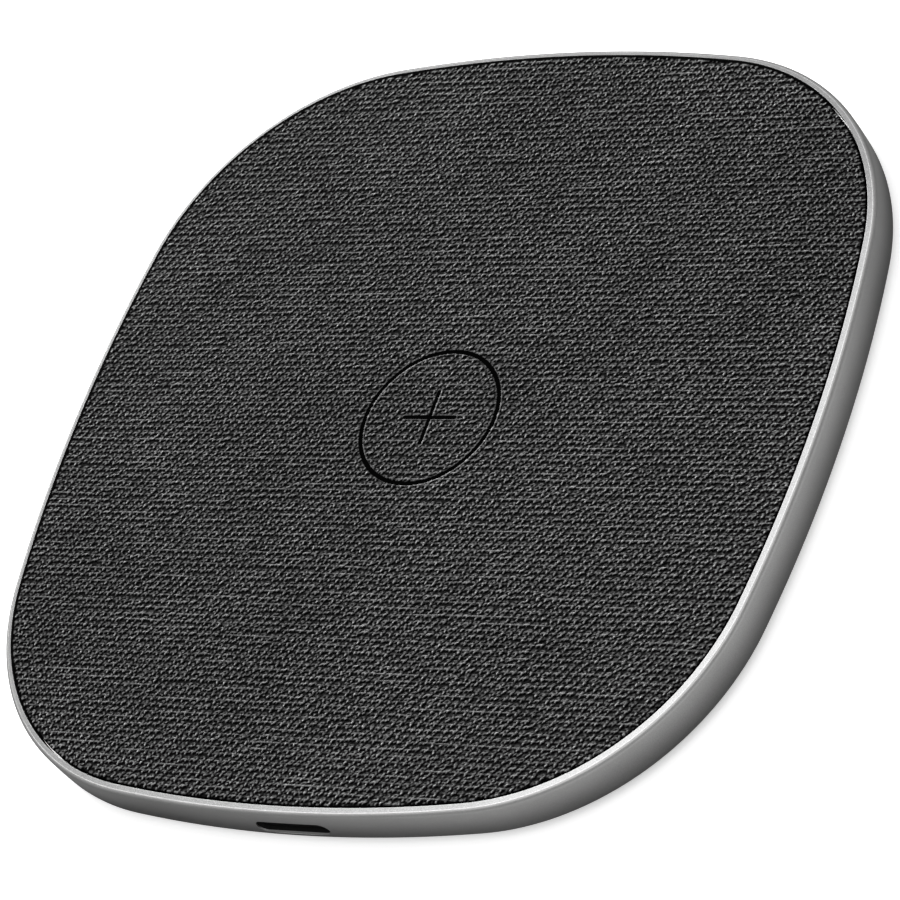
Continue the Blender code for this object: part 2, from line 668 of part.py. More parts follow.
# ---- fasteners ----------------------------------------------------------------------
def screw_mesh(name, size, helpers):
    """A flat-headed screw, head up, its origin under the head, with a cross recess."""
    head, tip = size["head"], 0.3 * size["shank"]
    low = -size["length"]
    profile = [
        (0.0, size["head_height"]),
        (head * 0.88, size["head_height"]),
        (head, size["head_height"] * 0.6),
        (head, 0.0),
        (size["shank"], 0.0),
        (size["shank"], low + 0.4 * MM),
        (tip, low),
        (0.0, low),
    ]
    mesh = bpy.data.meshes.new(name)
    edges = [(i, i + 1) for i in range(len(profile) - 1)]
    mesh.from_pydata([(r, 0.0, z) for r, z in profile], edges, [])
    turned = helper(bpy.data.objects.new(name, mesh), helpers)
    screw = turned.modifiers.new("turn", "SCREW")
    screw.steps = screw.render_steps = 16
    screw.use_merge_vertices = True
    screw.merge_threshold = 1e-6
    for i in range(2):
        blade = (head * 0.62, head * 0.16)[:: 1 - 2 * i]
        recess = box(
            f"{name}_recess_{i}",
            (-blade[0], -blade[1], size["head_height"] * 0.45),
            (blade[0], blade[1], size["head_height"] + 1 * MM),
        )
        boolean(turned, helper(recess, helpers), "DIFFERENCE")
    bpy.context.view_layer.update()
    graph = bpy.context.evaluated_depsgraph_get()
    return bpy.data.meshes.new_from_object(turned.evaluated_get(graph))


def make_screws(parts, helpers):
    cover_mesh = screw_mesh("cover_screw_blank", COVER_SCREW, helpers)
    board_mesh = screw_mesh("board_screw_blank", BOARD_SCREW, helpers)
    for mesh in (cover_mesh, board_mesh):
        mesh.materials.append(material("steel"))
    head_seat = FRAME_BOTTOM + CHANNEL_DEPTH + CLEAR + COVER_SCREW["head_height"]
    for i, spot in enumerate(four_corners(COVER_SCREW_INSET), start=1):
        screw = bpy.data.objects.new(f"cover_screw_{i}", cover_mesh)
        screw.location = (*spot, head_seat)
        screw.rotation_euler.x = math.pi  # driven in from below
        parts.objects.link(screw)
    for i, (x, y) in enumerate(BOARD_SCREW_SPOTS, start=1):
        screw = bpy.data.objects.new(f"board_screw_{i}", board_mesh)
        screw.location = (x, y, ON_BOARD)
        parts.objects.link(screw)


def main():
    clear_scene()
    parts = new_collection("wireless_charging_pad")
    helpers = new_collection("cutters")
    make_frame(parts, helpers)
    make_top(parts, helpers)
    make_bottom(parts, helpers)
    make_coil_assembly(parts, helpers)
    make_board(parts)
    make_port(parts, helpers)
    make_screws(parts, helpers)


main()
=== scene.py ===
"""A slim wireless charging pad on a pale table: metal frame, knitted top, cable port.

Everything is in metres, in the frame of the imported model: +Z up, the cable port on the -Y side.
"""

import math

import bmesh
import bpy
import numpy as np
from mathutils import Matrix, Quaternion, Vector


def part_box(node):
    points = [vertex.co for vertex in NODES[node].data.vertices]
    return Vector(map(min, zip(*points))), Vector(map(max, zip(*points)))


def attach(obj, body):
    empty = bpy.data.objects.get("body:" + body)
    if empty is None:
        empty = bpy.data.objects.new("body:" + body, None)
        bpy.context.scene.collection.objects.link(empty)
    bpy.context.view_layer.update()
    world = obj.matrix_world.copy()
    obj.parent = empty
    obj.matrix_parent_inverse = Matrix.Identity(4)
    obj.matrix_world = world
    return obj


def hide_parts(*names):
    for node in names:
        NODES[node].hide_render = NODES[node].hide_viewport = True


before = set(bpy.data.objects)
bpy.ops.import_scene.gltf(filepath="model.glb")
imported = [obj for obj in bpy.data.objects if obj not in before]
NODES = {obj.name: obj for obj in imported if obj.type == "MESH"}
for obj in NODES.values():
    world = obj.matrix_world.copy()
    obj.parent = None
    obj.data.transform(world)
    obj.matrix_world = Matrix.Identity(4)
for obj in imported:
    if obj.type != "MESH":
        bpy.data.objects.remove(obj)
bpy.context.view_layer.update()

MM = 0.001

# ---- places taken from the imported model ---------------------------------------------
FRAME_LOW, FRAME_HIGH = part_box("frame")
FABRIC_LOW, FABRIC_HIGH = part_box("top_fabric")
FOOT_LOW, FOOT_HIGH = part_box("foot_ring")
SHELL_LOW, SHELL_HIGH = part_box("usb_c_shell")
TONGUE_LOW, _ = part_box("usb_c_tongue")
PAD_WIDTH = FRAME_HIGH.x - FRAME_LOW.x
TOP = FRAME_HIGH.z
FABRIC_TOP = FABRIC_HIGH.z
FABRIC_INSET = FRAME_HIGH.x - FABRIC_HIGH.x
PORT_Z = (SHELL_LOW.z + SHELL_HIGH.z) / 2

# ---- shape of the rounded square ----------------------------------------------------
SIDE_RADIUS = 1.6969 * PAD_WIDTH
CORNER_RADIUS = 0.3 * PAD_WIDTH

# ---- frame --------------------------------------------------------------------------
RIM_INSET = 0.89 * MM
BEVEL_WIDTH = 0.47 * MM
BEVEL_DROP = 0.22 * MM
WALL_INSET = 1.9 * MM
LEDGE_INSET = 3.6 * MM
LEDGE_TOP = TOP - 1.55 * MM
LEDGE_BOTTOM = TOP - 2.5 * MM
PORT_SLOT = (9.1 * MM, 2.1 * MM)
PORT_BEVEL = 0.14 * MM
POCKET_INSET = 0.9 * MM
LIP_RISE = 0.16 * MM  # the slot's lower lip slopes up this far, inwards
LIP_DEPTH = 0.3 * MM
BLASTED, BRIGHT, PAINTED_SHADE = 0, 1, 2  # places of the frame's materials in its list; the third is black painted shade

# ---- knit ---------------------------------------------------------------------------
STITCH = 1.025 * MM  # along a row
ROW = 0.785 * MM
ROW_WANDER = 0.14 * MM
CHANCES = 256  # rows and columns of the random tables, after which they repeat
RELIEF = 0.16 * MM  # stitch tops above the pits
UNDER_SHARE = 0.70  # height of the lower layer's stitches, as a share of the upper one's
PIT_SHARE = 0.95  # how much of the height a pit takes away
SLUB_START = 0.62  # yarn noise above this makes a thick stretch
SHADE_REACH = 0.17 * MM  # how far the painted shade reaches from a stitch
PAINTED_LIGHT_SIDE = (-0.87, 0.50)  # direction of the side of a stitch that gets the painted highlight
SHADE_LOWEST = -0.15  # keeps the painted highlight on the lit wall of the pressed groove from turning white
STITCH_TONE = 0.275  # brightness of a stitch top above a pit: a painted highlight
# brightness of a pit: painted shade
PIT_TONE = 0.098
SIDE_TONE = 0.34  # strength of the painted highlight and painted shade on the sides, either way
STREAK_TONE = 0.07
DISPLAY_GAMMA = 2.2  # the four tones are as displayed, and the material needs them linear
EDGE_ROLL = 0.24 * MM  # radius of the fabric's rounded edge
GRID = 860
CENTRE_SPACING = 0.85  # grid spacing at the pad's centre, as a share of the average
RING_RADIUS = 8.29 * MM
GROOVE_WIDTH = 0.44 * MM
GROOVE_WALL = 0.08 * MM
GROOVE_DEPTH = 0.25 * MM
PRESSED_LEVEL = -0.9  # height in the groove, on the scale where a stitch top is 1
SHOULDER_WIDTH = 0.30 * MM  # knit flattened beside the groove
SHOULDER_LEVEL = 0.55
CROSS_ARM = 3.2 * MM

# ---- outline ------------------------------------------------------------------------
def outline_arcs():
    """Centre distances and the joint angle of the rounded square's arcs."""
    side_centre = PAD_WIDTH / 2 - SIDE_RADIUS
    between = SIDE_RADIUS - CORNER_RADIUS
    corner_centre = (side_centre + math.sqrt(2 * between**2 - side_centre**2)) / 2
    joint = math.atan2(corner_centre, corner_centre - side_centre)
    return side_centre, corner_centre, joint


def side_points(share, inset):
    """Points and outward normals along the +X side, from the middle of one corner arc
    (share -1) to the middle of the next (share 1), evenly along its length."""
    side_centre, corner_centre, joint = outline_arcs()
    side_length = SIDE_RADIUS * joint
    corner_length = CORNER_RADIUS * (math.pi / 4 - joint)
    along = np.abs(share) * (side_length + corner_length)
    on_corner = along > side_length
    side_angle = along / SIDE_RADIUS
    corner_angle = joint + (along - side_length) / CORNER_RADIUS
    angle = np.where(on_corner, corner_angle, side_angle)
    radius = np.where(on_corner, CORNER_RADIUS, SIDE_RADIUS) - inset
    x = np.where(on_corner, corner_centre, side_centre) + radius * np.cos(angle)
    y = np.where(on_corner, corner_centre, 0.0) + radius * np.sin(angle)
    sign = np.sign(share)
    points = np.stack([x, y * sign], -1)
    normals = np.stack([np.cos(angle), np.sin(angle) * sign], -1)
    return points, normals


def quarter_turns(points, turns):
    """Points turned about the centre by a number of quarter turns."""
    x, y = points[..., 0], points[..., 1]
    turned = {0: (x, y), 1: (-y, x), 2: (-x, -y), 3: (y, -x)}[turns % 4]
    return np.stack(turned, -1)


def outline(inset, per_side):
    """The whole outline as a loop, with outward normals."""
    share = np.linspace(-1, 1, per_side, endpoint=False)
    points, normals = side_points(share, inset)
    loop = np.concatenate([quarter_turns(points, k) for k in range(4)])
    out = np.concatenate([quarter_turns(normals, k) for k in range(4)])
    return loop, out


# ---- mesh tools ---------------------------------------------------------------------
def mesh_object(name, vertices, faces):
    mesh = bpy.data.meshes.new(name)
    mesh.from_pydata(vertices, [], faces)
    mesh.validate()
    obj = bpy.data.objects.new(name, mesh)
    bpy.context.scene.collection.objects.link(obj)
    return obj


def shade(obj, sharp_degrees):
    obj.data.shade_smooth()
    obj.data.set_sharp_from_angle(angle=math.radians(sharp_degrees))


def grid_faces(rows, columns, wrap_rows=False, wrap_columns=False):
    """Quads between the vertices of a grid stored row by row."""
    index = np.arange(rows * columns).reshape(rows, columns)
    if wrap_rows:
        index = np.concatenate([index, index[:1]])
    if wrap_columns:
        index = np.concatenate([index, index[:, :1]], 1)
    quads = np.stack([index[:-1, :-1], index[:-1, 1:], index[1:, 1:], index[1:, :-1]], -1)
    return quads.reshape(-1, 4)


def sweep(name, section, per_side):
    """A closed band round the pad. The section is a closed list of (inset, height) points."""
    loop, out = outline(0.0, per_side)
    section = np.array(section)
    flat = loop[:, None] - out[:, None] * section[None, :, :1]
    height = np.broadcast_to(section[None, :, 1:], (*flat.shape[:2], 1))
    vertices = np.concatenate([flat, height], -1).reshape(-1, 3)
    faces = grid_faces(len(loop), len(section), wrap_rows=True, wrap_columns=True)
    obj = mesh_object(name, vertices.tolist(), faces.tolist())
    outward(obj)
    return obj


def outward(obj):
    work = bmesh.new()
    work.from_mesh(obj.data)
    bmesh.ops.recalc_face_normals(work, faces=work.faces)
    work.to_mesh(obj.data)
    work.free()


def stadium(width, height):
    """A slot shape centred on the origin, as (across, up) points."""
    steps = 24
    radius = height / 2
    reach = width / 2 - radius
    points = []
    for side in (1, -1):
        for i in range(steps + 1):
            angle = math.pi * (i / steps - 0.5)
            across = reach + radius * math.cos(angle)
            points.append((side * across, side * radius * math.sin(angle)))
    return points


def loft(name, rings):
    """A closed solid through rings of equal length, capped at both ends."""
    count = len(rings[0])
    vertices = [point for ring in rings for point in ring]
    faces = grid_faces(len(rings), count, wrap_columns=True).tolist()
    faces.append(list(range(count)))
    faces.append(list(range(len(vertices) - count, len(vertices))))
    obj = mesh_object(name, vertices, faces)
    outward(obj)
    return obj


def port_ring(size, y, rise=0.0):
    """A slot shape that stands across the port at depth y, `rise` above its middle."""
    return [(x, y, PORT_Z + rise + z) for x, z in stadium(*size)]


def cut(target, cutter):
    modifier = target.modifiers.new("cut", "BOOLEAN")
    modifier.operation = "DIFFERENCE"
    modifier.solver = "EXACT"
    modifier.object = cutter
    apply_modifiers(target)
    bpy.data.objects.remove(cutter, do_unlink=True)


def apply_modifiers(obj):
    graph = bpy.context.evaluated_depsgraph_get()
    mesh = bpy.data.meshes.new_from_object(obj.evaluated_get(graph))
    obj.modifiers.clear()
    obj.data = mesh


def round_edges(obj, width):
    modifier = obj.modifiers.new("edges", "BEVEL")
    modifier.width = width
    modifier.segments = 2
    modifier.limit_method = "ANGLE"
    modifier.angle_limit = math.radians(30)
    modifier.harden_normals = False


# ---- node materials -----------------------------------------------------------------
class Look:
    """A node material under construction, with short calls for the nodes it needs."""

    def __init__(self, name, colour, roughness, metallic=0.0):
        self.material = bpy.data.materials.new(name)
        self.material.use_nodes = True
        self.tree = self.material.node_tree
        self.shader = self.tree.nodes["Principled BSDF"]
        self.coords = self.tree.nodes.new("ShaderNodeTexCoord")
        self.set("Base Color", (*colour, 1.0))
        self.set("Roughness", roughness)
        self.set("Metallic", metallic)

    def set(self, socket, value):
        self.connect(value, self.shader.inputs[socket])

    def connect(self, value, socket):
        if isinstance(value, bpy.types.NodeSocket):
            self.tree.links.new(value, socket)
        else:
            socket.default_value = value

    def node(self, kind, inputs, **settings):
        made = self.tree.nodes.new(kind)
        for key, value in settings.items():
            setattr(made, key, value)
        for key, value in inputs.items():
            self.connect(value, made.inputs[key])
        return made

    def math(self, operation, first, second=0.0, third=0.0):
        inputs = {0: first, 1: second, 2: third}
        return self.node("ShaderNodeMath", inputs, operation=operation).outputs[0]

    def noise(self, size, detail, roughness=0.55, stretch=None):
        """Noise whose features are about `size` metres across."""
        where = self.coords.outputs["Object"]
        if stretch:
            where = self.node("ShaderNodeMapping", {"Vector": where, "Scale": stretch}).outputs[0]
        inputs = {"Vector": where, "Scale": 1 / size, "Detail": detail, "Roughness": roughness}
        return self.node("ShaderNodeTexNoise", inputs).outputs["Fac"]

    def cells(self, size, feature="F1"):
        """Distances within Voronoi cells about `size` metres across."""
        inputs = {"Vector": self.coords.outputs["Object"], "Scale": 1 / size}
        return self.node("ShaderNodeTexVoronoi", inputs, feature=feature).outputs["Distance"]

    def span(self, value, low, high, to_low=0.0, to_high=1.0):
        """A value mapped smoothly from one range to another and clamped."""
        inputs = {"Value": value, 1: low, 2: high, 3: to_low, 4: to_high}
        node = self.node("ShaderNodeMapRange", inputs, interpolation_type="SMOOTHSTEP")
        return node.outputs[0]

    def mix(self, factor, first, second):
        node = self.node("ShaderNodeMix", {}, data_type="RGBA")
        self.connect(factor, node.inputs[0])
        for colour, socket in ((first, node.inputs[6]), (second, node.inputs[7])):
            self.connect((*colour, 1.0) if isinstance(colour, tuple) else colour, socket)
        return node.outputs[2]

    def bump(self, height, distance, strength):
        inputs = {"Height": height, "Distance": distance, "Strength": strength}
        return self.node("ShaderNodeBump", inputs).outputs[0]

    def axis(self, index):
        """The object coordinate along X (0), Y (1) or Z (2)."""
        return self.node("ShaderNodeSeparateXYZ", {0: self.coords.outputs["Object"]}).outputs[index]


def blasted_metal():
    """Bead-blasted aluminium. Painted shade darkens it towards the foot, standing in for the shaded
    table that the side reflects there. It also draws a fine line along the edge under the bevel, so
    neither follows the lights."""
    look = Look("blasted_metal", (0.30, 0.305, 0.31), 0.42, 1.0)
    grain = look.noise(0.09 * MM, 2.0)
    cloud = look.noise(9 * MM, 4.0)
    specks = look.cells(0.16 * MM)
    tint = look.span(cloud, 0.3, 0.7, 0.96, 1.03)
    shade_of_grain = look.span(grain, 0.25, 0.75, 0.86, 1.12)
    # painted shade: darker towards the foot, as if reflecting the shaded table near the pad
    fade_bottom, fade_top = 0.6 * MM, 5.2 * MM
    fade = look.span(look.axis(2), fade_bottom, fade_top, 0.39, 1.0)
    # painted shade: a fine dark line along the edge under the bevel
    bevel_foot = TOP - BEVEL_DROP
    line = look.span(look.axis(2), bevel_foot - 0.05 * MM, bevel_foot - 0.01 * MM, 1.0, 0.7)
    fade = look.math("MULTIPLY", fade, line)
    brightness = look.math("MULTIPLY", look.math("MULTIPLY", tint, shade_of_grain), fade)
    dark, light = (0.0, 0.0, 0.0), (0.505, 0.503, 0.50)
    look.set("Base Color", look.mix(look.math("MULTIPLY", brightness, 0.8), dark, light))
    look.set("Roughness", look.span(grain, 0.3, 0.7, 0.36, 0.50))
    pits = look.math("ADD", grain, look.math("MULTIPLY", specks, 0.6))
    look.set("Normal", look.bump(pits, 0.012 * MM, 0.35))
    return look.material


def cut_metal():
    """The bright bevel: fine tool lines that follow the edge, over a speckled grain."""
    look = Look("cut_metal", (0.80, 0.80, 0.80), 0.34, 1.0)
    grain = look.noise(0.11 * MM, 3.0, 0.8)
    lines = look.noise(0.05 * MM, 2.0, stretch=(1.0, 1.0, 6.0))
    both = look.math("ADD", grain, lines)
    dull, bright = (0.35, 0.35, 0.35), (0.72, 0.72, 0.72)
    look.set("Base Color", look.mix(look.span(both, 0.7, 1.3), dull, bright))
    look.set("Roughness", look.span(both, 0.7, 1.3, 0.30, 0.46))
    look.set("Normal", look.bump(both, 0.006 * MM, 0.5))
    return look.material


def knit():
    """Dark charcoal yarn with its light and shade painted in. The stitch tops and the sides that
    face -X +Y get a painted highlight. The pits and the sides that face +X -Y get near black
    painted shade. None of it follows the lights."""
    look = Look("charcoal_knit", (0.05, 0.05, 0.05), 0.9)
    weave = look.node("ShaderNodeAttribute", {}, attribute_name="weave")
    height, side, streak = look.node("ShaderNodeSeparateColor", {0: weave.outputs[0]}).outputs
    raised = weave.outputs["Alpha"]
    fibre = look.noise(0.10 * MM, 2.0, 0.7, stretch=(1.0, 1.5, 1.0))
    cloud = look.noise(14 * MM, 3.0)
    # painted highlight on the stitch tops, painted shade in the pits
    tone = look.math("MULTIPLY_ADD", height, STITCH_TONE, PIT_TONE)
    # painted highlight and painted shade on the sides of the stitches
    tone = look.math("ADD", tone, look.span(side, 0.0, 1.0, -SIDE_TONE, SIDE_TONE))
    tone = look.math("MULTIPLY_ADD", streak, STREAK_TONE, tone)
    tone = look.math("MULTIPLY", tone, look.span(fibre, 0.3, 0.7, 0.6, 1.4))
    tone = look.math("MULTIPLY", tone, look.span(cloud, 0.3, 0.7, 0.95, 1.05))
    # painted shade in the pressed groove and down the rolled edge
    tone = look.math("MULTIPLY", tone, look.span(raised, 0.0, 0.6, 0.5, 1.0))
    # the yarn's tone with its painted light and shade, made linear
    yarn = look.math("POWER", look.math("MAXIMUM", tone, 0.0), DISPLAY_GAMMA)
    look.set("Base Color", look.mix(yarn, (0.001, 0.001, 0.001), (1.0, 1.0, 1.0)))
    look.set("Roughness", look.span(fibre, 0.3, 0.7, 0.75, 0.98))
    # the painted shade also takes the shine out of the pits
    look.set("Specular IOR Level", look.math("MULTIPLY", yarn, 0.8))
    look.set("Normal", look.bump(fibre, 0.03 * MM, 0.6))
    return look.material


def moulded(name, colour, roughness, grain_size, depth, specular=0.5):
    """Plastic or rubber from an etched mould, with a little dust."""
    look = Look(name, colour, roughness)
    grain = look.cells(grain_size, feature="SMOOTH_F1")
    fine = look.noise(grain_size / 3, 2.0)
    dust = look.span(look.noise(1.2 * MM, 6.0, 0.8), 0.62, 0.75, 0.0, 0.25)
    paler = tuple(channel * 1.8 + 0.01 for channel in colour)
    look.set("Base Color", look.mix(dust, look.mix(fine, colour, paler), (0.12, 0.12, 0.12)))
    look.set("Roughness", look.span(fine, 0.3, 0.7, roughness - 0.08, roughness + 0.1))
    look.set("Normal", look.bump(look.math("ADD", grain, fine), depth, 0.5))
    look.set("Specular IOR Level", specular)
    return look.material


def plated_steel():
    look = Look("plated_steel", (0.62, 0.62, 0.60), 0.3, 1.0)
    lines = look.noise(0.06 * MM, 3.0, stretch=(1.0, 1.0, 0.08))
    stain = look.noise(2.5 * MM, 5.0)
    clean, stained = (0.66, 0.66, 0.65), (0.5, 0.49, 0.47)
    look.set("Base Color", look.mix(look.span(stain, 0.35, 0.7), clean, stained))
    look.set("Roughness", look.span(lines, 0.3, 0.7, 0.2, 0.4))
    look.set("Normal", look.bump(lines, 0.003 * MM, 0.4))
    return look.material


def copper_wire():
    """Bundled enamelled strands that wind round the coil's axis."""
    look = Look("copper_wire", (0.62, 0.26, 0.12), 0.3, 1.0)
    x, y = look.axis(0), look.axis(1)
    angle = look.math("ARCTAN2", y, x)
    squares = look.math("ADD", look.math("MULTIPLY", x, x), look.math("MULTIPLY", y, y))
    radius = look.math("SQRT", squares)
    strands_round, strand_pitch = 90.0, 0.3 * MM
    across = look.math("MULTIPLY", radius, 6.3 / strand_pitch)
    winding = look.math("MULTIPLY_ADD", angle, strands_round, across)
    strands = look.math("MULTIPLY_ADD", look.math("SINE", winding), 0.5, 0.5)
    stain = look.noise(1.5 * MM, 4.0)
    copper = look.mix(stain, (0.50, 0.19, 0.09), (0.74, 0.34, 0.17))
    # painted shade darkens the copper between the strands
    look.set("Base Color", look.mix(strands, (0.20, 0.07, 0.03), copper))
    look.set("Roughness", look.span(stain, 0.3, 0.7, 0.22, 0.42))
    look.set("Normal", look.bump(strands, 0.05 * MM, 0.8))
    return look.material


def pressed_powder(name, colour, speck, speck_size):
    """Ferrite and other pressed or sintered powders: dark, dry and speckled."""
    look = Look(name, colour, 0.6)
    specks = look.span(look.cells(speck_size), 0.05, 0.3, 1.0, 0.0)
    cloud = look.noise(3 * MM, 4.0)
    paler = tuple(channel * 1.6 for channel in colour)
    look.set("Base Color", look.mix(specks, look.mix(cloud, colour, paler), speck))
    look.set("Roughness", look.span(cloud, 0.3, 0.7, 0.45, 0.75))
    look.set("Normal", look.bump(look.math("ADD", specks, cloud), 0.02 * MM, 0.5))
    return look.material


def tape(name, colour, roughness):
    """Thin film with long faint creases and a few trapped bubbles."""
    look = Look(name, colour, roughness)
    creases = look.noise(4 * MM, 3.0, 0.6, stretch=(0.15, 1.0, 1.0))
    bubbles = look.span(look.cells(2.4 * MM), 0.0, 0.18, 1.0, 0.0)
    darker = tuple(channel * 0.7 for channel in colour)
    look.set("Base Color", look.mix(look.span(creases, 0.3, 0.7), darker, colour))
    look.set("Roughness", look.span(creases, 0.3, 0.7, roughness, roughness + 0.2))
    look.set("Normal", look.bump(look.math("ADD", creases, bubbles), 0.03 * MM, 0.6))
    return look.material


def open_foam():
    look = Look("open_foam", (0.06, 0.06, 0.065), 0.95)
    pores = look.span(look.cells(0.45 * MM), 0.1, 0.6, 0.0, 1.0)
    mottle = look.noise(5 * MM, 4.0)
    foam = look.mix(mottle, (0.08, 0.08, 0.085), (0.13, 0.13, 0.135))
    # the pores are painted near black: painted shade in their hollows
    look.set("Base Color", look.mix(pores, (0.015, 0.015, 0.016), foam))
    look.set("Roughness", look.span(mottle, 0.3, 0.7, 0.85, 1.0))
    look.set("Normal", look.bump(pores, 0.12 * MM, 0.9))
    return look.material


def circuit_board():
    """Green lacquer over raised tracks, with tinned dots where the layers join."""
    look = Look("circuit_board", (0.02, 0.16, 0.06), 0.35)
    spacing = 2.2 * MM
    edge = look.cells(spacing, feature="DISTANCE_TO_EDGE")
    tracks = look.span(edge, 0.10, 0.16, 1.0, 0.0)
    joints = look.span(look.cells(spacing), 0.09, 0.12, 1.0, 0.0)
    haze = look.noise(6 * MM, 4.0)
    lacquer = look.mix(haze, (0.010, 0.090, 0.035), (0.018, 0.130, 0.050))
    green = look.mix(tracks, lacquer, (0.035, 0.230, 0.085))
    look.set("Base Color", look.mix(joints, green, (0.72, 0.71, 0.68)))
    look.set("Metallic", joints)
    look.set("Roughness", look.span(haze, 0.3, 0.7, 0.28, 0.42))
    look.set("Normal", look.bump(look.math("ADD", tracks, joints), 0.03 * MM, 0.7))
    return look.material


def chip_epoxy():
    """Black moulding compound with a matt grain and a shallow dot in one corner."""
    look = Look("chip_epoxy", (0.02, 0.02, 0.021), 0.55)
    grain = look.noise(0.12 * MM, 3.0)
    place = look.coords.outputs["Generated"]
    dot_place = (0.16, 0.84, 1.0)
    corner = look.node("ShaderNodeVectorMath", {0: place, 1: dot_place}, operation="DISTANCE")
    dot = look.span(corner.outputs["Value"], 0.07, 0.09, 1.0, 0.0)
    plain = look.mix(grain, (0.014, 0.014, 0.015), (0.034, 0.034, 0.036))
    look.set("Base Color", look.mix(dot, plain, (0.008, 0.008, 0.008)))
    look.set("Roughness", look.span(grain, 0.3, 0.7, 0.48, 0.68))
    look.set("Normal", look.bump(look.math("SUBTRACT", grain, dot), 0.02 * MM, 0.6))
    return look.material


def chip_capacitor():
    """A fired ceramic body with a tinned cap on each end."""
    look = Look("chip_capacitor", (0.42, 0.30, 0.20), 0.5)
    generated = look.coords.outputs["Generated"]
    along = look.node("ShaderNodeSeparateXYZ", {0: generated}).outputs[0]
    from_middle = look.math("ABSOLUTE", look.math("SUBTRACT", along, 0.5))
    cap = look.span(from_middle, 0.29, 0.32)
    grain = look.noise(0.15 * MM, 4.0)
    body = look.mix(grain, (0.30, 0.20, 0.13), (0.48, 0.35, 0.24))
    tin = look.mix(grain, (0.55, 0.55, 0.54), (0.78, 0.78, 0.76))
    look.set("Base Color", look.mix(cap, body, tin))
    look.set("Metallic", cap)
    look.set("Roughness", look.span(grain, 0.3, 0.7, 0.32, 0.58))
    look.set("Normal", look.bump(look.math("MULTIPLY_ADD", cap, 2.0, grain), 0.02 * MM, 0.6))
    return look.material


def bead_and_leads():
    """A glass bead (towards +Y) on two tinned leads."""
    look = Look("bead_and_leads", (0.5, 0.3, 0.1), 0.2)
    generated = look.coords.outputs["Generated"]
    along = look.node("ShaderNodeSeparateXYZ", {0: generated}).outputs[1]
    glass = look.span(along, 0.78, 0.84)
    haze = look.noise(0.4 * MM, 3.0)
    tin = look.mix(haze, (0.45, 0.44, 0.42), (0.70, 0.69, 0.66))
    amber = look.mix(haze, (0.30, 0.10, 0.02), (0.50, 0.20, 0.05))
    look.set("Base Color", look.mix(glass, tin, amber))
    look.set("Metallic", look.math("SUBTRACT", 1.0, glass))
    look.set("Roughness", look.span(haze, 0.3, 0.7, 0.12, 0.40))
    look.set("Normal", look.bump(haze, 0.01 * MM, 0.5))
    return look.material


def contact_tongue():
    """Black plastic with a row of gold contacts along its front."""
    look = Look("contact_tongue", (0.02, 0.02, 0.022), 0.45)
    pitch, half_row, length = 0.5 * MM, 2.95 * MM, 3.4 * MM
    wave = look.math("SINE", look.math("MULTIPLY", look.axis(0), 2 * math.pi / pitch))
    from_middle = look.math("ABSOLUTE", look.axis(0))
    within = look.span(from_middle, half_row, half_row + 0.05 * MM, 1.0, 0.0)
    ahead = TONGUE_LOW.y + length
    forward = look.span(look.axis(1), ahead, ahead + 0.05 * MM, 1.0, 0.0)
    gold = look.math("MULTIPLY", look.span(wave, 0.0, 0.1), look.math("MULTIPLY", within, forward))
    grain = look.noise(0.1 * MM, 3.0)
    black = look.mix(grain, (0.012, 0.012, 0.013), (0.030, 0.030, 0.032))
    look.set("Base Color", look.mix(gold, black, (0.83, 0.58, 0.22)))
    look.set("Metallic", gold)
    look.set("Roughness", look.span(grain, 0.3, 0.7, 0.25, 0.5))
    look.set("Normal", look.bump(look.math("MULTIPLY_ADD", gold, 2.0, grain), 0.01 * MM, 0.6))
    return look.material


# ---- knit relief --------------------------------------------------------------------
# Each stitch is a small hook of yarn: an arch that starts low on the left and ends in a
# raised knot on the right. Rows run along X, and every other row is set off by half a stitch.
def row_noise(seed, length):
    """Smooth noise along each row, which rises and falls over `length` metres."""
    knots = np.random.default_rng(seed).random((CHANCES, CHANCES))

    def value(row, x):
        start = 37.0 * np.sin(row * 12.9898)  # a different place in the table for each row
        place = x / length + CHANCES // 2 + start
        low = np.floor(place)
        blend = place - low
        blend = blend * blend * (3 - 2 * blend)
        low = low.astype(int) % CHANCES
        strip = (row + CHANCES // 2) % CHANCES
        return knots[strip, low] * (1 - blend) + knots[strip, (low + 1) % CHANCES] * blend

    return value


row_wander = row_noise(3, 7 * MM)
row_slubs = row_noise(5, 3.0 * MM)


def dome(distance, radius):
    return np.sqrt(np.clip(1 - (distance / radius) ** 2, 0, 1))


def hook(u, v, chance):
    """Height of one stitch at (u, v), in rows from its middle, and depth of its pit."""
    radius = 0.33 + 0.11 * chance[..., 3]
    first = np.radians(-20 + 50 * chance[..., 4])
    span = np.radians(120 + 70 * chance[..., 5])
    thickness = 0.14 + 0.07 * chance[..., 6]
    turn = np.arctan2(v, u) - first
    turn = turn - 2 * np.pi * np.floor((turn + 0.7) / (2 * np.pi))
    turn = np.clip(turn, 0, span)
    to_arch = np.hypot(u - radius * np.cos(first + turn), v - radius * np.sin(first + turn))
    to_knot = np.hypot((u - radius * np.cos(first)) / 1.3, v - radius * np.sin(first))
    arch = dome(to_arch, thickness) * (0.95 - 0.70 * turn / span)
    knot = dome(to_knot, 0.15 + 0.08 * chance[..., 7])
    pit_u = u - 0.55
    pit_v = v + 0.30 + 0.5 * pit_u
    pit = dome(np.hypot(pit_u / 0.8, pit_v), 0.25 + 0.13 * chance[..., 7])
    return np.maximum(arch, knot) * (0.68 + 0.32 * chance[..., 8]), pit


